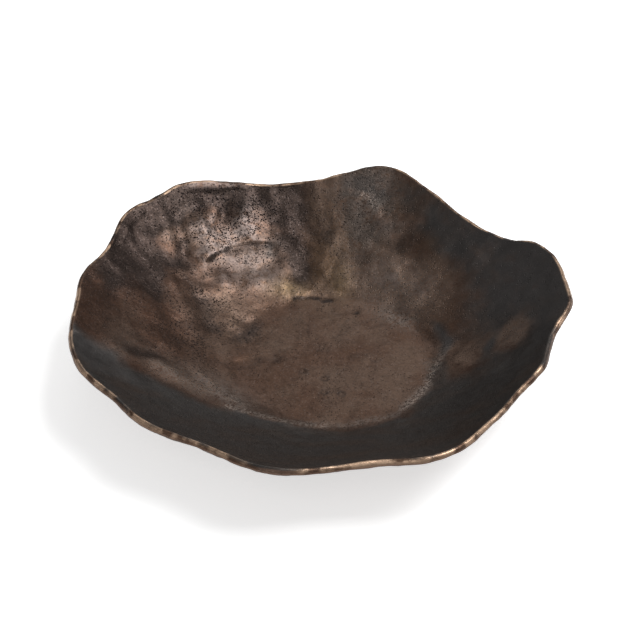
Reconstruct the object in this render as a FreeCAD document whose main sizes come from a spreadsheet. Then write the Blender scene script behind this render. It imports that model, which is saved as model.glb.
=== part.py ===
"""A free-form hammered copper bowl that stands on four self-adhesive rubber bumpers.

The frame: +Z up, the origin on the table under the middle of the bowl, -Y its front.
Lengths are in millimetres and angles in degrees.
"""

import FreeCAD, Part
import math
import os
import Sketcher

doc = FreeCAD.newDocument("hammered_copper_bowl")

# Driving dimensions: alias, value, meaning.
DIMENSIONS = [
    ("wall_thickness", 3.0, "metal in the floor and the wall"),
    ("lip_thickness", 5.0, "metal at the lip, which is thickened by hammering down the edge"),
    ("floor_radius", 74.0, "edge of the flat floor, where the wall starts to rise"),
    ("floor_shift_x", 10.0, "centre of the floor from the middle of the bowl"),
    ("floor_shift_y", 0.0, "centre of the floor from the middle of the bowl"),
    ("foot_slope_share", 0.55, "slope where the wall leaves the floor, over its mean slope"),
    ("bumper_radius", 8.0, "widest radius of a rubber bumper"),
    ("bumper_height", 3.8, "height of a rubber bumper"),
    ("bumper_taper", 12.0, "draft of the bumper's side"),
    ("bumper_round", 0.8, "rounding of the bumper's lower edge"),
    ("film_radius", 7.5, "adhesive disc that holds a bumper"),
    ("film_thickness", 0.2, "adhesive disc that holds a bumper"),
    ("bumper_circle", 54.0, "the bumpers' distance from the centre of the floor"),
]

# The crests and dips of the lip, anticlockwise from the right (+X): azimuth, reach from the middle, height.
LIP = [
    (3, 186.5, 60.0), (10, 186.5, 60.5), (18, 187.5, 61.0), (24, 183.5, 60.0), (30, 172, 54.5),
    (36, 166.5, 52.0), (47, 164.5, 52.0), (55, 168.5, 55.0), (63, 175.5, 59.5), (71, 181, 63.5),
    (80, 175.5, 60.5), (87, 168, 56.5), (94, 164.5, 54.5), (105, 165.5, 54.5), (112, 171, 57.5),
    (118, 177.5, 60.5), (129, 185.5, 64.0), (135, 184.5, 62.5), (144, 189, 64.0), (151, 183, 60.0),
    (158, 179.5, 58.0), (167, 184.5, 59.5), (177, 182, 58.5), (187, 184.5, 59.5), (198, 185.5, 59.5),
    (205, 183, 59.5), (215, 174, 57.0), (222, 175, 58.0), (232, 170.5, 57.5), (242, 166, 56.5),
    (248, 169.5, 58.0), (259, 175.5, 60.0), (269, 171.5, 59.0), (281, 167, 58.0), (286, 169, 58.5),
    (291, 175, 60.0), (301, 178.5, 60.5), (311, 171, 57.5), (320, 167, 55.5), (329, 165.5, 54.0),
    (340, 171, 55.0), (347, 170, 54.0), (355, 176, 56.0),
]

RIBS = 120  # profiles round the bowl
WALL_STATIONS = (0.08, 0.25, 0.5, 0.75, 0.92)  # shares of the way from the floor's edge to the lip
LIP_STRETCH = 1.0  # how far the lip's outermost poles stand out, over half the metal there
THICKENING_POWER = 6  # the metal thickens only near the lip, with this power of the way up the wall
DEGREE = 3

# The bumpers stand under the floor at these azimuths about its centre.
BUMPERS = {"front_right": 315, "back_right": 45, "back_left": 135, "front_left": 225}


def make_sheet():
    """The driving dimensions, each in an aliased cell with its meaning beside it."""
    made = doc.addObject("Spreadsheet::Sheet", "dimensions")
    for row, (alias, value, meaning) in enumerate(DIMENSIONS, start=1):
        made.set(f"A{row}", str(value))
        made.setAlias(f"A{row}", alias)
        made.set(f"B{row}", meaning)
    doc.recompute()
    return made


sheet = make_sheet()


def size(alias):
    """A driving dimension, from its cell."""
    return float(sheet.get(alias))


def base_height():
    """The underside of the floor, which rests on the bumpers and their adhesive."""
    return size("bumper_height") + size("film_thickness")


def lip_line():
    """Points along the middle of the lip, one for each rib, with the lip's box centred on the origin."""
    bends = [
        FreeCAD.Vector(reach * math.cos(math.radians(turn)), reach * math.sin(math.radians(turn)), height)
        for turn, reach, height in LIP
    ]
    curve = Part.BSplineCurve()
    curve.interpolate(Points=bends, PeriodicFlag=True)
    points = curve.discretize(Number=RIBS + 1)[:RIBS]
    box = curve.toShape().BoundBox
    middle = FreeCAD.Vector(box.Center.x, box.Center.y, 0)
    return [point - middle for point in points]


def rib_poles(lip):
    """Poles of one rib: from the floor's edge up the inside, over the lip and down the outside.

    The rib lies in the upright plane through the floor's edge and its own point of the lip.
    """
    azimuth = math.atan2(lip.y, lip.x)
    outward = FreeCAD.Vector(math.cos(azimuth), math.sin(azimuth), 0)
    floor_middle = base_height() + size("wall_thickness") / 2
    foot = FreeCAD.Vector(size("floor_shift_x"), size("floor_shift_y"), floor_middle)
    foot += outward * size("floor_radius")
    run = FreeCAD.Vector(lip.x - foot.x, lip.y - foot.y, 0)
    rise = lip.z - floor_middle
    start = size("foot_slope_share")
    up = FreeCAD.Vector(0, 0, 1)

    def along(share):
        """The unit vector up the wall there."""
        slope = rise * (start + 2 * (1 - start) * share)
        return (run + up * slope).normalize()

    def middle(share):
        """A point of the wall's middle surface."""
        return foot + run * share + up * rise * (start * share + (1 - start) * share**2)

    def across(share):
        """Half the metal, at right angles to the wall and towards the inside."""
        wall, edge = size("wall_thickness"), size("lip_thickness")
        thickness = wall + (edge - wall) * share**THICKENING_POWER
        side = up.cross(run).normalize()
        return along(share).cross(side).normalize() * (thickness / 2)

    half_wall = up * (size("wall_thickness") / 2)
    over = along(1) * (LIP_STRETCH * size("lip_thickness") / 2)
    inside = [foot + half_wall] + [middle(s) + across(s) for s in WALL_STATIONS]
    outside = [foot - half_wall] + [middle(s) - across(s) for s in WALL_STATIONS]
    edge = [middle(1) + across(1), middle(1) + across(1) + over, middle(1) + over]
    edge += [middle(1) - across(1) + over, middle(1) - across(1)]
    return inside + edge + outside[::-1]


def make_shell():
    """The hammered shell: one closed surface through the ribs, and the flat floor and base inside it."""
    poles = [rib_poles(lip) for lip in lip_line()]
    rings = len(poles[0])
    spans = rings - DEGREE
    surface = Part.BSplineSurface()
    surface.buildFromPolesMultsKnots(
        poles,
        [1] * (RIBS + 1),
        [DEGREE + 1] + [1] * (spans - 1) + [DEGREE + 1],
        list(range(RIBS + 1)),
        list(range(spans + 1)),
        True,
        False,
        DEGREE,
        DEGREE,
    )
    discs = [Part.Face(Part.Wire([surface.vIso(end).toShape()])) for end in (0, spans)]
    skin = Part.Shell([surface.toShape()] + discs)
    skin.sewShape()
    solid = Part.Solid(skin)
    if solid.Volume < 0:
        solid.reverse()
    made = doc.addObject("Part::Feature", "bowl_shell")
    made.Shape = solid
    return made


def round_body(name, radius_alias, height_alias):
    """A body whose first feature is a round pad, bound to the sheet."""
    body = doc.addObject("PartDesign::Body", name)
    plane = next(item for item in body.Origin.OriginFeatures if item.Role == "XY_Plane")
    sketch = body.newObject("Sketcher::SketchObject", name + "_outline")
    sketch.AttachmentSupport = [(plane, "")]
    sketch.MapMode = "FlatFace"
    circle = Part.Circle(FreeCAD.Vector(0, 0, 0), FreeCAD.Vector(0, 0, 1), size(radius_alias))
    sketch.addGeometry(circle, False)
    sketch.addConstraint(Sketcher.Constraint("Coincident", 0, 3, -1, 1))
    radius = sketch.addConstraint(Sketcher.Constraint("Radius", 0, size(radius_alias)))
    sketch.setExpression(f"Constraints[{radius}]", f"dimensions.{radius_alias}")
    pad = body.newObject("PartDesign::Pad", name + "_pad")
    pad.Profile = sketch
    pad.setExpression("Length", f"dimensions.{height_alias}")
    doc.recompute()
    return body, pad


def place_under_floor(body, azimuth, height):
    """Puts a body under the floor, at its azimuth about the floor's centre and the height of a formula."""
    body.setExpression(
        "Placement.Base.x",
        f"dimensions.floor_shift_x + dimensions.bumper_circle * cos({azimuth} deg)",
    )
    body.setExpression(
        "Placement.Base.y",
        f"dimensions.floor_shift_y + dimensions.bumper_circle * sin({azimuth} deg)",
    )
    body.setExpression("Placement.Base.z", height)


def make_bumper(place, azimuth):
    """A rubber bumper, which narrows towards the table and has a rounded lower edge.

    Its pad is drawn downwards from its widest face, which lies against the adhesive.
    """
    body, pad = round_body("bumper_" + place, "bumper_radius", "bumper_height")
    pad.Reversed = True
    pad.setExpression("TaperAngle", "-dimensions.bumper_taper")
    doc.recompute()
    faces = pad.Shape.Faces
    lowest = min(range(len(faces)), key=lambda index: faces[index].CenterOfMass.z)
    rounding = body.newObject("PartDesign::Fillet", body.Name + "_round")
    rounding.Base = (pad, [f"Face{lowest + 1}"])
    rounding.setExpression("Radius", "dimensions.bumper_round")
    place_under_floor(body, azimuth, "dimensions.bumper_height")
    return body


def make_film(place, azimuth):
    """The disc of adhesive between a bumper and the floor."""
    body, _ = round_body("adhesive_" + place, "film_radius", "film_thickness")
    place_under_floor(body, azimuth, "dimensions.bumper_height")
    return body


def check(parts):
    """Stops the build if an object failed or a sub-part is not one valid solid."""
    for item in doc.Objects:
        if "Invalid" in item.State or "Error" in item.State:
            raise RuntimeError(f"{item.Name} failed to recompute: {item.State}")
    for part in parts:
        shape = part.Shape
        if shape.isNull() or not shape.isValid() or len(shape.Solids) != 1 or shape.Volume <= 0:
            raise RuntimeError(f"{part.Label} is not one valid solid")


def main():
    parts = [make_shell()]
    for place, azimuth in BUMPERS.items():
        parts.append(make_bumper(place, azimuth))
        parts.append(make_film(place, azimuth))
    doc.recompute()
    check(parts)
    os.makedirs("parts", exist_ok=True)
    for part in parts:
        part.Shape.exportStep(f"parts/{part.Label}.step")
        box = part.Shape.BoundBox
        print(f"{part.Label}: {part.Shape.Volume:.0f} mm3, x {box.XMin:.2f} to {box.XMax:.2f}, ", end="")
        print(f"y {box.YMin:.2f} to {box.YMax:.2f}, z {box.ZMin:.2f} to {box.ZMax:.2f}")


main()
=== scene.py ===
"""A free-form hammered copper bowl with a dark patina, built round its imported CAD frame.

The bowl's own sheet of copper is a new mesh: it follows the CAD shell and adds the hammer work, the creases
and the folds. Its places are given as an azimuth, anticlockwise from +X, and a share of the way from the
bowl's middle to its lip. Lengths are in metres unless a name says otherwise.
"""

import bpy
import math
import numpy as np
from mathutils import Euler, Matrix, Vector, noise
from mathutils.bvhtree import BVHTree


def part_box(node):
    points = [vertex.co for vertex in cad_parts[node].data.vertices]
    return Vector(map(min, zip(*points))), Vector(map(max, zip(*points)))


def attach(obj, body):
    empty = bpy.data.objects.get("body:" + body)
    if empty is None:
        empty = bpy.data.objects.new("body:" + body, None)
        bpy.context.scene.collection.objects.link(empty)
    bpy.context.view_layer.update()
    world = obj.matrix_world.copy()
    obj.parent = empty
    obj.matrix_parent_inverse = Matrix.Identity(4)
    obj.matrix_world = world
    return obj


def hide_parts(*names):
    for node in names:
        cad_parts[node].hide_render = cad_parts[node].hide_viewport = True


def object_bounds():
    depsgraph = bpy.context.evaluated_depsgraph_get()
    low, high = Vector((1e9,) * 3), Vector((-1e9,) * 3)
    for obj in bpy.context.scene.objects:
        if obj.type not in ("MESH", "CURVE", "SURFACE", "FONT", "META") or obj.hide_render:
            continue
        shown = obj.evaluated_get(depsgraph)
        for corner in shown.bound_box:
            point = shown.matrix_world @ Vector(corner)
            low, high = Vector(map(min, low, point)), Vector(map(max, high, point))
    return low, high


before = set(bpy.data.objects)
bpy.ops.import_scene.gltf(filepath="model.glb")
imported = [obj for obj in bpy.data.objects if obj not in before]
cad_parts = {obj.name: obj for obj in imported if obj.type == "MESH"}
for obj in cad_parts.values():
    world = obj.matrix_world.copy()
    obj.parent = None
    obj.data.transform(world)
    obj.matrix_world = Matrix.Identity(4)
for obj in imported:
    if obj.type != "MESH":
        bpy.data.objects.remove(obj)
CAD_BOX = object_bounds()

MM = 0.001
SHELL = "bowl_shell"

# The mesh: a square net mapped onto a disc for the inside, a coarser one for the outside, and rings for
# the lip.
INNER_CELLS = 256
OUTER_CELLS = INNER_CELLS // 2
RIM_POINTS = 4 * INNER_CELLS
LIP_RINGS = 9
LIP_DEPTH = 4.2 * MM  # how far in from the widest point the lip's rings begin
RELAX_ROUNDS = 50  # rounds of smoothing that take out the CAD mesh's facets


# ---------------------------------------------------------------- the CAD shell, asked for its heights

class ShellSurface:
    """The CAD shell as heights above any point of the table, seen from above and from below."""

    def __init__(self):
        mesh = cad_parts[SHELL].data
        self.tree = BVHTree.FromPolygons(
            [v.co for v in mesh.vertices], [p.vertices for p in mesh.polygons]
        )
        self.low, self.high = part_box(SHELL)
        self.reach = self.find_reach()

    def height(self, x, y, above=True):
        """The height of the shell's upper or lower skin there, or None off the shell."""
        start = self.high.z + 1 if above else self.low.z - 1
        way = Vector((0, 0, -1 if above else 1))
        hit = self.tree.ray_cast(Vector((x, y, start)), way)[0]
        return None if hit is None else hit.z

    def find_reach(self):
        """The lip's widest radius at each point of the rim, by halving."""
        reach = []
        for step in range(RIM_POINTS):
            turn = math.tau * step / RIM_POINTS
            inside, outside = 0.0, (self.high - self.low).length
            for _ in range(22):
                radius = (inside + outside) / 2
                found = self.height(radius * math.cos(turn), radius * math.sin(turn)) is not None
                inside, outside = (radius, outside) if found else (inside, radius)
            reach.append(inside)
        return np.array(reach)

    def reach_at(self, turn):
        """The lip's widest radius at any azimuth, in radians."""
        step = np.mod(turn, math.tau) / math.tau * RIM_POINTS
        closed = np.append(self.reach, self.reach[0])
        return np.interp(step, np.arange(RIM_POINTS + 1), closed)


surface = ShellSurface()


def from_polar(azimuth, share):
    """The table's (x, y) at an azimuth in degrees and a share of the way to the lip."""
    turn = math.radians(azimuth)
    radius = share * float(surface.reach_at(turn))
    return np.array((radius * math.cos(turn), radius * math.sin(turn)))


# ---------------------------------------------------------------- the net of points

def disc_net(cells):
    """Share and azimuth of each point of a square net mapped onto a disc, each square to a ring."""
    line = np.linspace(-1, 1, cells + 1)
    across, up = np.meshgrid(line, line, indexing="ij")
    share = np.maximum(np.abs(across), np.abs(up))
    safe = np.maximum(share, 1e-9)
    eighth = math.pi / 4
    side = np.where(
        np.abs(across) >= np.abs(up),
        np.where(across >= 0, up, -up) / safe * eighth + np.where(across >= 0, 0, math.pi),
        np.where(up >= 0, -across, across) / safe * eighth
        + np.where(up >= 0, math.pi / 2, 3 * math.pi / 2),
    )
    return share, np.mod(side, math.tau)


def net_rim(cells):
    """The net's border points in order of azimuth, from azimuth 0."""
    share, turn = disc_net(cells)
    rows, columns = np.where(share > 1 - 1e-9)
    order = np.argsort(turn[rows, columns] % (math.tau - 1e-9))
    return rows[order], columns[order]


def skin_net(cells, above):
    """The points of the inside or the outside skin, out to where the lip's rings begin."""
    share, turn = disc_net(cells)
    rim = surface.reach_at(turn) - LIP_DEPTH
    mean = float(np.mean(surface.reach)) - LIP_DEPTH
    radius = share * (mean + (rim - mean) * share**2)
    x, y = radius * np.cos(turn), radius * np.sin(turn)
    z = np.array([[surface.height(a, b, above) for a, b in zip(*line)] for line in zip(x, y)])
    return np.stack([x, y, z], axis=-1)


def relax(net, rounds):
    """Smooths a net by moving each inner point to the mean of its four neighbours, half way each time."""
    for _ in range(rounds):
        mean = (net[2:, 1:-1] + net[:-2, 1:-1] + net[1:-1, 2:] + net[1:-1, :-2]) / 4
        net[1:-1, 1:-1] += (mean - net[1:-1, 1:-1]) / 2
    return net


def lip_ring_points(step, inner, outer):
    """The lip's section at one point of the rim, from the inside skin over the edge to the outside skin."""
    turn = math.tau * step / RIM_POINTS
    reach = surface.reach[step]
    way = np.array((math.cos(turn), math.sin(turn)))
    section = [inner]
    bends = np.linspace(0, math.pi / 2, 9)[1:]
    over = [reach - LIP_DEPTH + LIP_DEPTH * math.sin(bend) * 0.9995 for bend in bends]
    for above, radii in ((True, over), (False, over[::-1])):
        for radius in radii:
            x, y = way * radius
            z = surface.height(x, y, above)
            if z is not None:
                section.append(np.array((x, y, z)))
    section.append(outer)
    section = np.array(section)
    along = np.concatenate([[0], np.cumsum(np.linalg.norm(np.diff(section, axis=0), axis=1))])
    wanted = np.linspace(0, along[-1], LIP_RINGS + 2)[1:-1]
    return np.stack([np.interp(wanted, along, section[:, axis]) for axis in range(3)], axis=-1)


def net_faces(cells, first, upward):
    """The quads of a square net whose points start at number first."""
    grid = first + np.arange((cells + 1) ** 2).reshape(cells + 1, cells + 1)
    quads = np.stack([grid[:-1, :-1], grid[1:, :-1], grid[1:, 1:], grid[:-1, 1:]], axis=-1).reshape(-1, 4)
    return (quads if upward else quads[:, ::-1]).tolist()


def band_faces(upper, lower):
    """Quads between two closed rings of as many points, the upper ring inside."""
    count = len(upper)
    return [
        [upper[i], lower[i], lower[(i + 1) % count], upper[(i + 1) % count]] for i in range(count)
    ]


def joining_faces(fine, coarse):
    """Triangles between a ring and one of half as many points."""
    faces = []
    for i in range(len(coarse)):
        a, b, c = fine[2 * i], fine[2 * i + 1], fine[(2 * i + 2) % len(fine)]
        here, after = coarse[i], coarse[(i + 1) % len(coarse)]
        faces += [[a, here, b], [b, here, after], [b, after, c]]
    return faces


def bowl_net():
    """Points and faces of the whole closed skin, and each point's side: 1 in, 0 on the lip, -1 out."""
    inner = relax(skin_net(INNER_CELLS, True), RELAX_ROUNDS)
    outer = relax(skin_net(OUTER_CELLS, False), RELAX_ROUNDS // 4)
    rows, columns = net_rim(INNER_CELLS)
    inner_rim = inner[rows, columns]
    inner_ids = rows * (INNER_CELLS + 1) + columns
    rows, columns = net_rim(OUTER_CELLS)
    outer_rim = outer[rows, columns]
    between = (outer_rim + np.roll(outer_rim, -1, axis=0)) / 2
    full_outer_rim = np.stack([outer_rim, between], axis=1).reshape(-1, 3)
    lip = np.array([
        lip_ring_points(step, inner_rim[step], full_outer_rim[step]) for step in range(RIM_POINTS)
    ])
    points = [inner.reshape(-1, 3)]
    first = len(points[0])
    rings = [inner_ids]
    for ring in range(LIP_RINGS):
        points.append(lip[:, ring])
        rings.append(first + np.arange(RIM_POINTS))
        first += RIM_POINTS
    outer_ids = first + rows * (OUTER_CELLS + 1) + columns
    points.append(outer.reshape(-1, 3))
    faces = net_faces(INNER_CELLS, 0, True)
    for upper, lower in zip(rings, rings[1:]):
        faces += band_faces(upper, lower)
    faces += joining_faces(rings[-1], outer_ids)
    faces += net_faces(OUTER_CELLS, first, False)
    sides = [np.ones(len(points[0]))]
    sides += [np.full(RIM_POINTS, 1 - 2 * (ring + 1) / (LIP_RINGS + 1)) for ring in range(LIP_RINGS)]
    sides.append(-np.ones(len(points[-1])))
    return np.concatenate(points), faces, np.concatenate(sides)


# ---------------------------------------------------------------- the hammer work

# Each stroke: height in mm (negative cuts in), half width in mm, edge in mm, and its path.
# A stroke with an edge is a fold: the metal steps down over that edge from the left of its path to the
# right.
STROKES = {
    "floor_edge_left": (-0.5, 4.0, 0, [(108, 0.445), (99, 0.45), (93, 0.44)]),
    "floor_edge_middle": (-0.5, 4.0, 0, [(89, 0.42), (85, 0.415)]),
    "floor_edge_right": (-0.4, 5.0, 0, [(77, 0.44), (69, 0.46), (63, 0.49)]),
    "floor_edge_pit": (-0.8, 2.6, 0, [(65, 0.355)]),
    "long_fold": (0.8, 5.5, 1.6, [(134, 0.69), (130, 0.695), (124, 0.705), (117, 0.72), (110, 0.73)]),
    "fold_corner": (-0.8, 5.5, 0, [(110, 0.76), (110, 0.70), (110, 0.65)]),
    "fold_corner_ridge": (0.6, 6.0, 0, [(114, 0.79), (114, 0.75)]),
    "back_valley": (-1.3, 16.0, 0, [(105, 0.95), (102, 0.84), (101, 0.74), (100, 0.66)]),
    "low_hollow": (-0.9, 7.5, 0, [(101, 0.575), (98, 0.55)]),
    "back_rib_left": (0.4, 7.0, 0, [(93, 0.62), (93, 0.50)]),
    "back_rib_right": (0.35, 8.0, 0, [(81, 0.58), (80, 0.49)]),
    "warm_swell": (1.3, 12.0, 0, [(114, 0.54), (108, 0.50)]),
    "lip_fold": (0.5, 3.5, 1.3, [(127, 0.955), (120, 0.945), (113, 0.965)]),
    "left_roll": (0.8, 2.4, 0, [(152, 0.95), (147, 0.96), (141, 0.965)]),
    "left_flake": (0.8, 3.6, 0, [(148, 0.95), (150, 0.92)]),
    "left_flake_foot": (-0.5, 4.5, 0, [(145, 0.93), (147, 0.91)]),
    "left_bump_a": (1.9, 8.5, 0, [(141, 0.84)]),
    "left_bump_b": (2.2, 7.5, 0, [(132, 0.835), (130, 0.82)]),
    "left_bump_c": (2.0, 7.0, 0, [(137, 0.735), (135, 0.71)]),
    "left_hollow_a": (-1.2, 8.0, 0, [(146, 0.77), (141, 0.90)]),
    "left_hollow_b": (-1.5, 7.5, 0, [(127, 0.89), (134, 0.89)]),
    "left_hollow_c": (-1.8, 8.0, 0, [(138, 0.79), (141, 0.74)]),
    "left_streak_a": (1.2, 5.5, 0, [(138, 0.665), (139, 0.635)]),
    "left_streak_b": (1.2, 5.5, 0, [(134, 0.61), (135, 0.58)]),
    "left_hollow_streaks": (-1.0, 7.0, 0, [(130, 0.61), (131, 0.63)]),
    "middle_dip": (-1.5, 6.0, 0, [(121, 0.86)]),
    "middle_bump": (1.2, 7.0, 0, [(116, 0.87)]),
    "fold_swell": (1.5, 9.0, 0, [(128, 0.77), (118, 0.79)]),
    "under_fold_swell": (1.0, 8.0, 0, [(128, 0.65), (119, 0.67)]),
    "far_left_hollow": (-1.2, 15.0, 0, [(152, 0.83), (156, 0.74)]),
    "left_wall_rib": (1.6, 10.0, 0, [(152, 0.70), (158, 0.62), (166, 0.56)]),
    "left_wall_furrow": (-1.4, 9.0, 0, [(146, 0.66), (152, 0.58), (160, 0.50)]),
    "shelf_bulge": (1.0, 8.0, 0, [(178, 0.37), (166, 0.27)]),
    "shelf_hollow_over": (-1.0, 8.0, 0, [(157, 0.38), (146, 0.35)]),
    "shelf_hollow_under": (-0.8, 7.0, 0, [(184, 0.33), (174, 0.21)]),
    "right_pit": (-0.8, 8.0, 0, [(61, 0.77), (57, 0.79)]),
    "back_roll": (0.7, 5.0, 0, [(79, 0.87), (74, 0.82), (68, 0.77)]),
    "patch_crease": (-0.8, 5.0, 0, [(70, 0.69), (62, 0.71), (53, 0.73)]),
    "right_swell": (1.5, 14.0, 0, [(60, 0.62), (46, 0.60)]),
    "right_high_swell": (1.3, 8.0, 0, [(40, 0.90), (35, 0.87)]),
    "back_knuckle": (1.2, 8.0, 0, [(70, 0.76), (66, 0.79)]),
    "right_patch_low": (0.9, 13.0, 0, [(356, 0.57), (358, 0.64)]),
    "right_patch_high": (0.9, 12.0, 0, [(359, 0.77), (1, 0.81)]),
    "right_furrow": (-1.1, 11.0, 0, [(12, 0.50), (9, 0.60), (10, 0.70)]),
    "right_groove": (-0.6, 8.0, 0, [(347, 0.62), (351, 0.70)]),
}

# Painted shade along a fold or a crease: how strong, and how many mm to the right of the stroke.
CREASE_SHADE = {
    "floor_edge_left": (0.84, 0.0),
    "floor_edge_middle": (0.92, 0.0),
    "floor_edge_right": (0.55, 0.0),
    "floor_edge_pit": (0.80, 0.0),
    "long_fold": (0.79, 1.2),
    "fold_corner": (0.66, 0.0),
}
CREASE_SHADE_REACH = 8.0  # how far in mm it thins out

# The long ridge on which the left wall turns over into the dark front wall, and the swell it runs out into.
TURN_RIDGE = (2.4, 11.0, 0, [(190, 0.82), (191, 0.77), (194, 0.69), (199, 0.62)])
TURN_SWELL = (1.0, 15.0, 0, [(201, 0.60), (209, 0.54), (223, 0.48), (246, 0.41)])
RIDGE_HOLLOW = (-1.7, 7.5, 0, [(190, 0.75), (188, 0.67)])

# Small round rings left by a punch on the floor.
PUNCH_MARKS = [(274, 0.12), (271, 0.21), (290, 0.23), (221, 0.11)]
PUNCH_RADIUS = 2.6
PUNCH_DEPTH = 0.16

RIM_RADIUS = 180  # about the lip's radius in mm, for noise that runs along it

TILT = Euler((0.7, 0.5, 0.4)).to_matrix()  # turns the noise's grid, so that it doesn't show
WARP = 0.45  # how far the noise is drawn aside, in lumps
NOISE_SEED = 1
noise.seed_set(NOISE_SEED)  # noise_vector gives other values on every run unless it is seeded


def stroke_distance(places, path):
    """How far each place is from a path, and how far to its left, in mm."""
    corners = [from_polar(*corner) / MM for corner in path]
    if len(corners) == 1:
        return np.linalg.norm(places - corners[0], axis=1), np.zeros(len(places))
    nearest = np.full(len(places), np.inf)
    left = np.zeros(len(places))
    for a, b in zip(corners, corners[1:]):
        run = b - a
        length = np.linalg.norm(run)
        along = np.clip((places - a) @ run / length**2, 0, 1)
        off = places - a - along[:, None] * run
        distance = np.linalg.norm(off, axis=1)
        closer = distance < nearest
        nearest[closer] = distance[closer]
        left[closer] = ((run[0] * off[:, 1] - run[1] * off[:, 0]) / length)[closer]
    return nearest, left


def stroke_relief(places, stroke):
    """The height in mm that one stroke of the hammer adds at each place."""
    height, width, edge, path = stroke
    distance, left = stroke_distance(places, path)
    step = np.tanh(left / edge) if edge else 1
    return height * step * np.exp(-((distance / width) ** 2))


def punch_relief(places):
    """The ringed dimples on the floor: each is a shallow dent inside a raised ring."""
    total = np.zeros(len(places))
    for mark in PUNCH_MARKS:
        distance = np.linalg.norm(places - from_polar(*mark) / MM, axis=1) / PUNCH_RADIUS
        total += PUNCH_DEPTH * (np.exp(-((distance - 1.2) ** 2) * 6) - 1.3 * np.exp(-(distance**2) * 2.5))
    return total


def field(places, size, seed, octaves=1):
    """Smooth noise between about -1 and 1 whose lumps are about size mm across, on a tilted grid."""
    across, along = TILT @ Vector((1, 0, 0)) / size, TILT @ Vector((0, 1, 0)) / size
    start = Vector((seed, seed, seed))
    values = []
    for x, y in places.tolist():
        at = start + across * x + along * y
        values.append(noise.fractal(at + WARP * noise.noise_vector(at * 0.7), 1.0, 2.0, octaves))
    return np.array(values)


def facets(places, size, seed):
    """The dents of a round-faced hammer: 0 in the middle of a dent, up to 1 on the ridges between."""
    cells = [noise.voronoi(Vector((x / size, y / size, seed)))[0][0] for x, y in places.tolist()]
    return np.clip(np.array(cells), 0, 1) ** 2


def smoothstep(low, high, value):
    """0 below low, 1 above high, and a smooth rise between."""
    part = np.clip((value - low) / (high - low), 0, 1)
    return part * part * (3 - 2 * part)


def blob(places, azimuth, share, long, short=None, turn=0.0):
    """A soft oval spot, 1 in its middle. Its half lengths are in mm, and turn is its first axis from +X."""
    short = short or long
    off = places - from_polar(azimuth, share) / MM
    angle = math.radians(turn)
    along = off @ np.array((math.cos(angle), math.sin(angle))) / long
    across = off @ np.array((-math.sin(angle), math.cos(angle))) / short
    return np.exp(-(along**2 + across**2))


def polar(places):
    """Each place's azimuth in degrees and share of the way to the lip."""
    turn = np.arctan2(places[:, 1], places[:, 0])
    share = np.hypot(places[:, 0], places[:, 1]) * MM / surface.reach_at(turn)
    return np.degrees(turn) % 360, share


def sheet_relief(places):
    """What the hammering does to the whole sheet, in mm towards the inside: the outside follows it."""
    azimuth, share = polar(places)
    front = smoothstep(0.42, 0.60, share) * smoothstep(195, 225, azimuth) * smoothstep(350, 325, azimuth)
    lively = 1 - 0.75 * front
    wall = smoothstep(0.35, 0.55, share)
    lumpy = 0.35 + blob(places, 124, 0.74, 52, 38, 30) - 0.9 * blob(places, 122, 0.66, 26, 14, 15)
    broad = lively * (0.35 + 0.65 * wall) * 1.3 * field(places, 42, 3.1, 2)
    broad += stroke_relief(places, TURN_RIDGE) + stroke_relief(places, TURN_SWELL)
    detail = lively * lumpy * (0.45 + 0.55 * wall) * 1.7 * field(places, 15, 8.7, 1)
    detail += stroke_relief(places, RIDGE_HOLLOW)
    for stroke in STROKES.values():
        detail += stroke_relief(places, stroke)
    return broad, detail, lively


points, faces, sides = bowl_net()
mesh = bpy.data.meshes.new("hammered_bowl")
mesh.from_pydata(points.tolist(), [], faces)
mesh.validate()
bowl = bpy.data.objects.new("hammered_bowl", mesh)
bpy.context.scene.collection.objects.link(bowl)
for polygon in mesh.polygons:
    polygon.use_smooth = True

places = points[:, :2] / MM
azimuth, share = polar(places)
inside = sides > 0.5
outside = sides < -0.5
relief = np.zeros(len(points))
broad, detail, lively = sheet_relief(places)
sheet = broad + detail
relief[inside] = sheet[inside]
relief += np.where(inside, 1, 0) * (
    lively * (0.14 * field(places, 6.0, 1.7, 2) + 0.35 * facets(places, 14, 4.4)) + punch_relief(places)
    + 0.40 * smoothstep(0.50, 0.40, share) * field(places, 13, 21.0, 2)
)
bumpers = [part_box(name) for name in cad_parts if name.startswith("bumper")]
feet = [(corner + opposite) / 2 / MM for corner, opposite in bumpers]
clear_of_feet = np.ones(len(points))
for foot in feet:
    clear_of_feet *= smoothstep(9, 22, np.linalg.norm(places - np.array((foot.x, foot.y)), axis=1))
relief += np.where(outside, 1, 0) * clear_of_feet * (
    -0.6 * sheet + 0.9 * facets(places, 17, 9.2) + 0.2 * field(places, 8, 5.5, 2)
)
rim_way = np.stack([np.cos(np.radians(azimuth)), np.sin(np.radians(azimuth))], axis=1) * RIM_RADIUS
on_lip = np.abs(sides) < 0.95
relief += np.where(on_lip, 1, 0) * (0.7 * field(rim_way, 26, 2.2, 2) + 0.35 * field(rim_way, 9, 6.6))

normals = np.empty(len(points) * 3)
mesh.vertex_normals.foreach_get("vector", normals)
normals = normals.reshape(-1, 3)
moved = points + normals * relief[:, None] * MM
mesh.vertices.foreach_set("co", moved.ravel())
mesh.update()

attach(bowl, "root")
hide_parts(SHELL)

# ---------------------------------------------------------------- where the patina differs, and where shade, highlight and reflection are painted

def attribute(name, values):
    layer = mesh.attributes.new(name, "FLOAT", "POINT")
    layer.data.foreach_set("value", np.clip(values, 0, 1).astype(np.float32))


mottle = field(places, 30, 12.3, 3)
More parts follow.
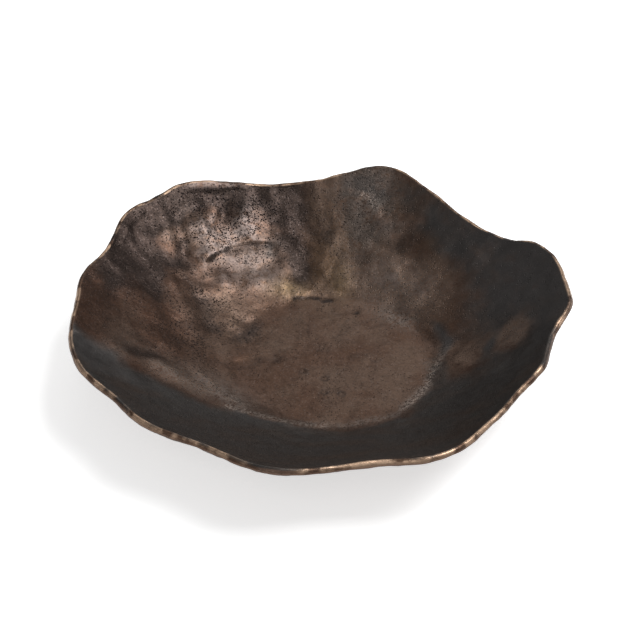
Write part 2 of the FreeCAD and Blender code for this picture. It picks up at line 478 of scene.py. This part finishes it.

# Where the inside turns over into the dark front and right walls, and its stretch along the floor. The
# walls' darkness is dark patina and painted dark reflection.
DARK_BORDER = [
    (184, 1.0), (186, 0.90), (191, 0.80), (197, 0.71), (203, 0.65), (211, 0.59), (222, 0.52), (236, 0.475),
    (252, 0.43), (282, 0.44), (312, 0.48), (340, 0.49), (6, 0.50), (22, 0.62), (34, 0.78), (45, 0.89),
    (55, 1.0),
]
FLOOR_BORDER = DARK_BORDER[6:13]
FLOOR_GROOVE = [(24, 0.515), (10, 0.515), (353, 0.52), (343, 0.515)]

# Brown patches that show through the dark walls: azimuth, share, half lengths in mm, and the long axis.
LOW_PATCH = (355, 0.60, 20, 22)
HIGH_PATCH = (359.5, 0.775, 14, 18)
BACK_PATCH = (51, 0.60, 36, 22, -22)
OUTSIDE_DARK = 0.35  # the outside's mean darkness, and the lip's
LIP_DARK = 0.15
BASE_DEEP = 0.2
OUTSIDE_UMBER = 0.3
OUTSIDE_PITS = 0.1
FULL_HAMMER = 1.5  # the detail in mm at which a hollow or a crest counts in full

# Soft spots that add to each kind of patina, painted shade or painted highlight: how much, and then a place
# like those above.
SPOTS = {
    "dark_patina_and_reflection": [
        (0.5, 358, 0.69, 16, 4, 65), (0.6, 52, 0.89, 32, 14, -55), (0.5, 75, 0.90, 60, 16, -10),
        (0.3, 70, 0.72, 30, 10), (0.3, 40, 0.80, 34, 18, 90), (0.45, 110.5, 0.70, 12, 5, 80),
        (-1.0, *LOW_PATCH), (-1.1, *HIGH_PATCH), (-0.95, *BACK_PATCH),
    ],
    "slate": [(0.35, 192, 0.90, 26, 16, 70)],
    "deep_patina_and_shade": [
        (0.5, 102, 0.81, 42, 13, 100), (0.45, 153, 0.80, 24, 16, 60), (0.4, 143, 0.90, 24, 12, 60),
        (0.2, 92, 0.90, 14, 10, 90), (0.45, 90, 0.76, 12, 9), (0.35, 101, 0.57, 7, 9),
        (0.3, 59, 0.78, 14, 8, 10), (0.3, 74, 0.61, 14, 6), (0.35, 152, 0.36, 12, 6, 40),
        (0.4, 160, 0.90, 34, 14, 80), (-0.35, *BACK_PATCH),
    ],
    "pale_patina_and_highlight": [
        (0.4, 125, 0.58, 30, 14, 20), (0.3, 100, 0.50, 30, 12), (0.45, 54, 0.59, 26, 16, -20),
        (0.5, *HIGH_PATCH),
    ],
    "ridge_highlight": [
        (1.2, 199, 0.59, 26, 11, -25), (1.0, 209, 0.48, 22, 12, -30), (0.5, 190, 0.80, 12, 7, 80),
    ],
    # The warm spots at 199 and 209 degrees, on the ridge, are painted highlight.
    "warm": [
        (1.0, 199, 0.59, 32, 14, -25), (1.0, 209, 0.48, 24, 14, -30), (0.5, 151, 0.56, 30, 20, 40),
        (0.5, 145, 0.46, 24, 16, 40), (0.5, 184, 0.80, 28, 12, 85), (1.4, *BACK_PATCH), (1.0, *LOW_PATCH),
        (1.4, *HIGH_PATCH),
    ],
    "umber": [(0.8, 101, 0.76, 44, 15, 97)],
    "pits": [
        (0.6, 121, 0.84, 46, 26, 20), (0.3, 165, 0.52, 60, 35, 80), (0.2, 45, 0.55, 30, 25),
        (0.2, 203, 0.50, 34, 12, -30), (0.35, 75, 0.85, 40, 22), (0.4, 110, 0.71, 12, 7, 80),
        (0.3, 152, 0.36, 16, 10, 40),
    ],
    "grey": [
        (0.7, 76, 0.86, 38, 24, 80), (0.4, 110, 0.70, 9, 5, 60), (0.6, 40, 0.46, 16, 9, -40),
        (0.6, 216, 0.47, 14, 6, -35), (0.5, 350, 0.50, 6, 16, 10),
    ],
    "gold": [(1.0, 108, 0.50, 16, 9, 10), (0.6, 80, 0.50, 9, 14), (0.35, 88, 0.62, 36, 20, 90)],
}


def spots(kind):
    """What all the soft spots of one kind add up to at each place."""
    return sum(amount * blob(places, *where) for amount, *where in SPOTS[kind])


def line_glow(path, width):
    """1 on a path, and fading away over about width mm to both its sides."""
    distance, _ = stroke_distance(places, path)
    return np.exp(-((distance / width) ** 2))


# The dark front and right walls: dark patina and painted dark reflection, with a little painted reflected
# light that keeps the right wall lighter.
_, beyond = stroke_distance(places, DARK_BORDER)
beyond = -beyond + 6 * mottle
right_side = smoothstep(345, 375, np.where(azimuth < 180, azimuth + 360, azimuth))
left_side = smoothstep(245, 205, azimuth) * smoothstep(170, 185, azimuth)
softness = 12 + 26 * right_side + 8 * left_side
dark_patina_and_reflection = smoothstep(-2 - 24 * right_side, softness, beyond) * (1 - 0.15 * right_side)
dark_patina_and_reflection += spots("dark_patina_and_reflection") + 0.55 * line_glow(FLOOR_GROOVE, 5)
attribute("dark_patina_and_reflection", np.where(inside, dark_patina_and_reflection, np.where(outside, OUTSIDE_DARK + 0.3 * mottle, LIP_DARK)))
attribute("slate", smoothstep(-25, 25, beyond) * (right_side + spots("slate")))

# Hollows of the hammer work get painted shade, and crests a painted highlight.
hollow = np.clip(-detail / FULL_HAMMER, 0, 1)
crest = np.clip(detail / FULL_HAMMER, 0, 1)
# A band of painted shade just inside the back lip; the lip's pitted face is kept out of it and made pale
# instead.
lip_face = smoothstep(0.95, 0.97, share) * smoothstep(109, 113, azimuth) * smoothstep(129, 125, azimuth)
lip_shade = (1 - 0.8 * lip_face) * smoothstep(0.84, 0.93, share + 0.03 * mottle)
lip_shade *= smoothstep(92, 102, azimuth) * smoothstep(175, 150, azimuth)
# Deep patina, with painted shade in the hollows and inside the back lip.
deep_patina_and_shade = BASE_DEEP + 0.85 * lip_shade + 0.45 * hollow * (1 - dark_patina_and_reflection) + spots("deep_patina_and_shade")
# Darker colour in a ring round each punch mark.
for mark in PUNCH_MARKS:
    ring = np.linalg.norm(places - from_polar(*mark) / MM, axis=1) - PUNCH_RADIUS
    deep_patina_and_shade += 0.35 * np.exp(-((ring / 1.2) ** 2))
attribute("deep_patina_and_shade", np.where(inside, deep_patina_and_shade, BASE_DEEP))

# Painted shade along the folds and creases of the table above, fading out to their sides.
crease_shade = np.zeros(len(points))
for name, (strength, shift) in CREASE_SHADE.items():
    distance, left = stroke_distance(places, STROKES[name][3])
    apart = np.hypot(left + shift, np.sqrt(np.maximum(distance**2 - left**2, 0))) if shift else distance
    crease_shade = np.maximum(crease_shade, strength * (1 - apart / CREASE_SHADE_REACH))
attribute("crease_shade", np.where(inside, crease_shade, 0))

# Painted highlight on the crest of the long ridge where the left wall turns over.
ridge_highlight = spots("ridge_highlight")
# Pale patina and painted highlight, strongest on the crests in the lit back-left zone.
pale_patina_and_highlight = blob(places, 120, 0.75, 38, 29, 20) * (0.4 + 0.6 * crest) + 0.3 * crest * smoothstep(0.35, 0.5, share)
pale_patina_and_highlight += spots("pale_patina_and_highlight") + 0.8 * lip_face
pale_patina_and_highlight *= 1 - 0.85 * blob(places, 100, 0.82, 46, 15, 97)
pale_patina_and_highlight += 0.6 * ridge_highlight
attribute("pale_patina_and_highlight", np.where(inside, pale_patina_and_highlight, 0))
edge_dust = 0.8 * line_glow(FLOOR_BORDER, 3.2) * np.clip(0.8 + mottle, 0, 1)
edge_dust *= 1 - 0.9 * blob(places, 6, 0.50, 26)
# Dust along the floor's border and on the patches, and the painted highlight of the ridge.
dust_and_highlight = edge_dust + 0.85 * ridge_highlight + 0.5 * blob(places, *HIGH_PATCH) + 0.6 * blob(places, *BACK_PATCH)
attribute("dust_and_highlight", np.where(inside, dust_and_highlight, 0))
attribute("warm", np.where(inside, spots("warm"), 0))
umber = smoothstep(138, 152, azimuth) * smoothstep(0.40, 0.62, share) + spots("umber")
attribute("umber", np.where(inside, umber, OUTSIDE_UMBER))
pits = 0.14 + 0.14 * smoothstep(0.38, 0.52, share) + spots("pits")
attribute("pits", np.where(inside, pits * (1 - 0.9 * np.clip(dark_patina_and_reflection, 0, 1)), OUTSIDE_PITS))
grey = spots("grey") + 0.45 * line_glow(FLOOR_BORDER, 4) * (0.8 + 0.8 * mottle)
attribute("grey", np.where(inside, grey, 0))
attribute("gold", spots("gold"))
attribute("worn", smoothstep(0.97, 0.75, sides) * smoothstep(0.05, 0.40, sides))


# ---------------------------------------------------------------- materials

class Nodes:
    """A new node material, with short ways to add its nodes."""

    def __init__(self, name):
        self.material = bpy.data.materials.new(name)
        self.material.use_nodes = True
        self.tree = self.material.node_tree
        self.shader = self.tree.nodes["Principled BSDF"]

    def add(self, kind, **settings):
        node = self.tree.nodes.new(kind)
        for key, value in settings.items():
            setattr(node, key, value)
        return node

    def put(self, value, socket):
        """Links a node's output to a socket, or sets the socket to a plain value."""
        if isinstance(value, bpy.types.NodeSocket):
            self.tree.links.new(value, socket)
        else:
            socket.default_value = value

    def coordinates(self):
        return self.add("ShaderNodeTexCoord").outputs["Object"]

    def noise(self, size, detail=3.0, rough=0.55, stretch=None):
        """Noise whose lumps are about size metres across."""
        node = self.add("ShaderNodeTexNoise")
        where = self.coordinates()
        if stretch:
            mapping = self.add("ShaderNodeMapping")
            self.put(where, mapping.inputs["Vector"])
            mapping.inputs["Scale"].default_value = stretch
            where = mapping.outputs["Vector"]
        self.put(where, node.inputs["Vector"])
        node.inputs["Scale"].default_value = 1 / size
        node.inputs["Detail"].default_value = detail
        node.inputs["Roughness"].default_value = rough
        return node.outputs["Fac"]

    def cells(self, size):
        """Cells about size metres across: a node with the distance to a cell's middle and its colour."""
        node = self.add("ShaderNodeTexVoronoi")
        self.put(self.coordinates(), node.inputs["Vector"])
        node.inputs["Scale"].default_value = 1 / size
        return node

    def ramp(self, value, low, high, start=0.0, end=1.0):
        node = self.add("ShaderNodeMapRange", interpolation_type="SMOOTHSTEP")
        self.put(value, node.inputs["Value"])
        for name, number in (("From Min", low), ("From Max", high), ("To Min", start), ("To Max", end)):
            self.put(number, node.inputs[name])
        return node.outputs["Result"]

    def math(self, operation, a, b=0.0):
        node = self.add("ShaderNodeMath", operation=operation)
        self.put(a, node.inputs[0])
        self.put(b, node.inputs[1])
        return node.outputs["Value"]

    def mix(self, share, a, b):
        node = self.add("ShaderNodeMix", data_type="RGBA")
        self.put(share, node.inputs[0])
        self.put(a, node.inputs[6])
        self.put(b, node.inputs[7])
        return node.outputs[2]

    def part(self, colour, name):
        """A colour's Red, Green or Blue, which for cells is an even spread from 0 to 1."""
        node = self.add("ShaderNodeSeparateColor")
        self.put(colour, node.inputs["Color"])
        return node.outputs[name]

    def attribute(self, name):
        return self.add("ShaderNodeAttribute", attribute_name=name).outputs["Fac"]

    def bump(self, height, depth):
        node = self.add("ShaderNodeBump")
        self.put(height, node.inputs["Height"])
        node.inputs["Distance"].default_value = depth
        node.inputs["Strength"].default_value = 1.0
        self.put(node.outputs["Normal"], self.shader.inputs["Normal"])


BLACK = (0.073, 0.067, 0.064, 1)
STREAK = (0.085, 0.066, 0.056, 1)
SLATE = (0.085, 0.078, 0.076, 1)
DEEP = (0.026, 0.020, 0.018, 1)
BROWN = (0.092, 0.052, 0.035, 1)
TAN = (0.118, 0.076, 0.055, 1)
UMBER = (0.068, 0.035, 0.023, 1)
PALE_AND_HIGHLIGHT = (0.210, 0.165, 0.148, 1)
GREY = (0.098, 0.093, 0.086, 1)
WARM = (0.200, 0.134, 0.100, 1)
DUST_AND_HIGHLIGHT = (0.300, 0.240, 0.205, 1)
GOLD = (0.150, 0.102, 0.056, 1)
COPPER = (0.50, 0.345, 0.24, 1)
PIT_AND_SHADE = (0.012, 0.010, 0.010, 1)
RUBBER_DARK = (0.012, 0.012, 0.013, 1)
RUBBER_LIGHT = (0.03, 0.03, 0.031, 1)
GLUE_DARK = (0.55, 0.52, 0.44, 1)
GLUE_LIGHT = (0.68, 0.66, 0.58, 1)


def copper_material():
    n = Nodes("dark_copper")
    dark_patina_and_reflection, deep_patina_and_shade, slate = n.attribute("dark_patina_and_reflection"), n.attribute("deep_patina_and_shade"), n.attribute("slate")
    pits, pale_patina_and_highlight, umber = n.attribute("pits"), n.attribute("pale_patina_and_highlight"), n.attribute("umber")
    grey, gold, worn = n.attribute("grey"), n.attribute("gold"), n.attribute("worn")
    broad, clump, fine = n.noise(0.040, 4), n.noise(0.013, 3, 0.6), n.noise(0.006, 4, 0.65)
    grain = n.noise(0.0016, 2, 0.6)
    colour = n.mix(n.ramp(broad, 0.38, 0.66), BROWN, TAN)
    # Pale patina and painted highlight.
    colour = n.mix(n.math("MULTIPLY", pale_patina_and_highlight, n.ramp(fine, 0.3, 0.6)), colour, PALE_AND_HIGHLIGHT)
    colour = n.mix(n.math("MULTIPLY", umber, 0.8), colour, UMBER)
    colour = n.mix(n.math("MULTIPLY", n.attribute("warm"), n.ramp(clump, 0.28, 0.58)), colour, WARM)
    colour = n.mix(n.math("MULTIPLY", gold, 0.8), colour, GOLD)
    colour = n.mix(n.math("MULTIPLY", grey, n.ramp(clump, 0.35, 0.6)), colour, GREY)
    scales = n.noise(0.0035, 3, 0.6, (0.55, 1.0, 1.0))
    colour = n.mix(n.math("MULTIPLY", grey, n.ramp(scales, 0.40, 0.52, 0.75, 0.0)), colour, DEEP)
    # Dust, and the ridge's painted highlight.
    dust_and_highlight = n.math("ADD", n.math("MULTIPLY", grey, 0.8), n.attribute("dust_and_highlight"))
    colour = n.mix(n.math("MULTIPLY", dust_and_highlight, n.ramp(grain, 0.42, 0.60)), colour, DUST_AND_HIGHLIGHT)
    blotch = n.math("MULTIPLY", n.math("SUBTRACT", clump, 0.5), 0.8)
    streak = n.noise(0.022, 4, 0.6, (0.35, 1.0, 1.0))
    black = n.mix(n.ramp(streak, 0.42, 0.72), BLACK, STREAK)
    black = n.mix(slate, black, SLATE)
    # Dark patina and painted dark reflection on the front and right walls.
    colour = n.mix(n.ramp(n.math("ADD", dark_patina_and_reflection, blotch), 0.12, 0.9), colour, black)
    # Deep patina, with painted shade in the hollows and inside the back lip.
    colour = n.mix(n.math("MULTIPLY", n.ramp(n.math("ADD", deep_patina_and_shade, blotch), 0.1, 0.95), 0.85), colour, DEEP)
    cells = n.cells(0.0015)
    size = n.math("MULTIPLY", n.part(cells.outputs["Color"], "Green"), 0.25)
    spot = n.ramp(n.math("ADD", cells.outputs["Distance"], size), 0.3, 0.55, 1.0, 0.0)
    crowd = n.math("MULTIPLY", n.ramp(clump, 0.36, 0.62), n.ramp(broad, 0.25, 0.55, 0.5, 1.0))
    crowd = n.math("MULTIPLY", crowd, n.math("ADD", n.math("MULTIPLY", pits, 1.5), 0.15))
    pit = n.math("MULTIPLY", spot, n.math("LESS_THAN", n.part(cells.outputs["Color"], "Red"), crowd))
    pit = n.math("MULTIPLY", pit, n.ramp(pits, 0.0, 0.9, 0.40, 0.95))
    colour = n.mix(pit, colour, PIT_AND_SHADE)
    # Painted shade along the folds and creases, with a ragged edge.
    ragged = n.math("ADD", n.attribute("crease_shade"), n.math("MULTIPLY", n.math("SUBTRACT", fine, 0.5), 0.5))
    colour = n.mix(n.math("MULTIPLY", n.ramp(ragged, 0.5, 0.85), 0.8), colour, PIT_AND_SHADE)
    grainy = n.math("ADD", n.math("MULTIPLY", pits, 0.8), 0.12)
    dusting = n.math("MULTIPLY", n.ramp(grain, 0.48, 0.64), grainy)
    colour = n.mix(n.math("MULTIPLY", dusting, n.math("SUBTRACT", 1.0, dark_patina_and_reflection)), colour, PIT_AND_SHADE)
    glint = n.ramp(n.noise(0.0013, 2, 0.6), 0.56, 0.7, 0.0, 0.3)
    colour = n.mix(n.math("MULTIPLY", glint, n.math("SUBTRACT", 1.0, dark_patina_and_reflection)), colour, PALE_AND_HIGHLIGHT)
    marbled = n.mix(n.ramp(n.noise(0.013, 3, 0.5), 0.47, 0.60, 0.0, 0.9), COPPER, UMBER)
    rub = n.math("MULTIPLY", worn, n.ramp(n.noise(0.030, 3, 0.6), 0.36, 0.54))
    colour = n.mix(rub, colour, marbled)
    n.put(colour, n.shader.inputs["Base Color"])
    n.shader.inputs["Metallic"].default_value = 0.93
    rough = n.ramp(fine, 0.3, 0.7, 0.36, 0.48)
    rough = n.math("ADD", rough, n.math("MULTIPLY", pit, 0.4))
    n.put(rough, n.shader.inputs["Roughness"])
    scales = n.math("MULTIPLY", n.math("MULTIPLY", scales, grey), 2.4)
    height = n.math("ADD", scales, n.math("SUBTRACT", n.math("MULTIPLY", grain, 0.25), pit))
    height = n.math("ADD", height, n.math("MULTIPLY", fine, 0.6))
    n.bump(height, 0.00035)
    return n.material


mesh.materials.append(copper_material())


def rubber_material():
    n = Nodes("bumper_rubber")
    n.put(n.mix(n.noise(0.002), RUBBER_DARK, RUBBER_LIGHT), n.shader.inputs["Base Color"])
    n.put(n.ramp(n.noise(0.001), 0.3, 0.7, 0.6, 0.8), n.shader.inputs["Roughness"])
    n.bump(n.noise(0.0006), 0.00004)
    return n.material


def adhesive_material():
    n = Nodes("bumper_adhesive")
    n.put(n.mix(n.noise(0.003), GLUE_DARK, GLUE_LIGHT), n.shader.inputs["Base Color"])
    n.put(n.ramp(n.noise(0.002), 0.3, 0.7, 0.4, 0.6), n.shader.inputs["Roughness"])
    n.bump(n.noise(0.0008), 0.00002)
    return n.material


FINISHES = {"bumper": rubber_material(), "adhesive": adhesive_material()}
for name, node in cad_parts.items():
    kind = name.split("_")[0]
    if kind in FINISHES:
        node.data.materials.clear()
        node.data.materials.append(FINISHES[kind])

# ---------------------------------------------------------------- floor, light and camera

CAMERA_ELEVATION = 40  # degrees above the table
CAMERA_DISTANCE = 1.36
CAMERA_AIM = (-0.0022, 0.0206, -0.0034)  # from the middle of the bowl to the middle of the picture
CAMERA_LENS = 100
FLOOR_GLOW = 0.55
WORLD_LIGHT = 0.25

low, high = CAD_BOX
middle = (low + high) / 2


def make_floor():
    bpy.ops.mesh.primitive_plane_add(size=12)
    floor = bpy.context.object
    floor.name = "studio_floor"
    n = Nodes("studio_floor")
    n.shader.inputs["Base Color"].default_value = (0.92, 0.92, 0.92, 1)
    n.shader.inputs["Roughness"].default_value = 0.9
    n.shader.inputs["Specular IOR Level"].default_value = 0.1
    n.shader.inputs["Emission Color"].default_value = (1, 1, 1, 1)
    n.shader.inputs["Emission Strength"].default_value = FLOOR_GLOW
    floor.data.materials.append(n.material)


def softbox(name, way, distance, size, energy):
    """A square area light that faces the bowl from a direction."""
    light = bpy.data.lights.new(name, "AREA")
    light.size = size
    light.energy = energy
    lamp = bpy.data.objects.new(name, light)
    bpy.context.scene.collection.objects.link(lamp)
    lamp.location = middle + Vector(way).normalized() * distance
    lamp.rotation_euler = (middle - lamp.location).to_track_quat("-Z", "Y").to_euler()


def make_light():
    softbox("overhead_softbox", (0.50, 0.05, 0.86), 2.4, 1.3, 46)
    softbox("back_softbox", (0.05, 1.1, 0.92), 2.6, 1.2, 6)
    softbox("front_softbox", (-0.5, -1.6, 1.2), 2.6, 2.0, 14)
    world = bpy.data.worlds.new("studio")
    bpy.context.scene.world = world
    world.use_nodes = True
    world.node_tree.nodes["Background"].inputs["Color"].default_value = (1, 1, 1, 1)
    world.node_tree.nodes["Background"].inputs["Strength"].default_value = WORLD_LIGHT
    bpy.context.scene.view_settings.view_transform = "Standard"


def make_camera():
    elevation = math.radians(CAMERA_ELEVATION)
    aim = middle + Vector(CAMERA_AIM)
    data = bpy.data.cameras.new("camera")
    data.lens = CAMERA_LENS
    data.sensor_width = 36
    camera = bpy.data.objects.new("camera", data)
    bpy.context.scene.collection.objects.link(camera)
    camera.location = aim + Vector((0, -math.cos(elevation), math.sin(elevation))) * CAMERA_DISTANCE
    camera.rotation_euler = (math.pi / 2 - elevation, 0, 0)
    bpy.context.scene.camera = camera


make_floor()
make_light()
make_camera()
